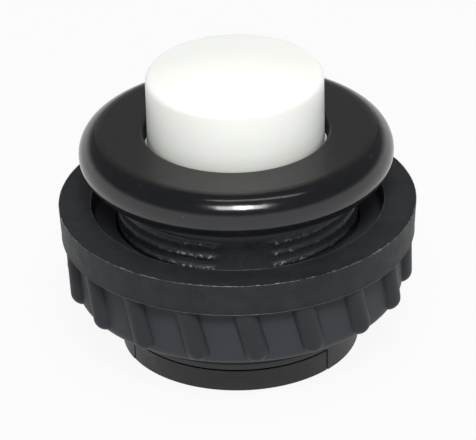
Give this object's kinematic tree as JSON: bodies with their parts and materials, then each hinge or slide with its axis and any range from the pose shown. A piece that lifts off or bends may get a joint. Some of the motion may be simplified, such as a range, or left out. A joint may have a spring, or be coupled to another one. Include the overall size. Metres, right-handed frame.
{
  "type": "doorbell pushbutton switch",
  "caption": "Round bell-push switch for a panel hole: domed white button in a black head, threaded barrel, ribbed ring nut and screw terminals.",
  "frame": {"origin": "middle of the barrel's lower end, which is the bottom centre of the bounding box", "axes": "+Z points out of the button along the barrel, +X runs from the left terminal to the right one, and the pictured front faces -Y"},
  "size_m": [0.037, 0.037, 0.0319],
  "materials": {
    "black_gloss": "polished moulded",
    "black_satin": "satin moulded",
    "black_matte": "matte moulded",
    "white_gloss": "polished moulded",
    "brass": "stamped strip",
    "silver": "rolled",
    "spring_steel": "drawn wire",
    "nickel": "nickel plated"
  },
  "bodies": {
    "base": {"housing": "black_gloss", "contact_carrier": "black_matte", "fixed_contact_right": "brass", "fixed_contact_left": "brass", "fixed_contact_tips": "silver", "clamp_washers": "brass", "terminal_screws": "nickel", "return_spring": "spring_steel"},
    "button": {"push_button": "white_gloss", "contact_bridge": "brass", "bridge_contacts": "silver", "stem_clip": "spring_steel"},
    "nut": {"ring_nut": "black_satin"}
  },
  "joints": [
    {"name": "button_press", "type": "slide", "parent": "base", "child": "button", "axis": [0, 0, -1], "range_m": [0, 0.0022], "stiffness_N_per_m": 500, "springref_m": -0.004, "deforming": ["return_spring"]},
    {"name": "nut_turn", "type": "hinge", "parent": "base", "child": "nut", "pos_m": [0, 0, 0], "axis": [0, 0, 1], "continuous": true}
  ]
}
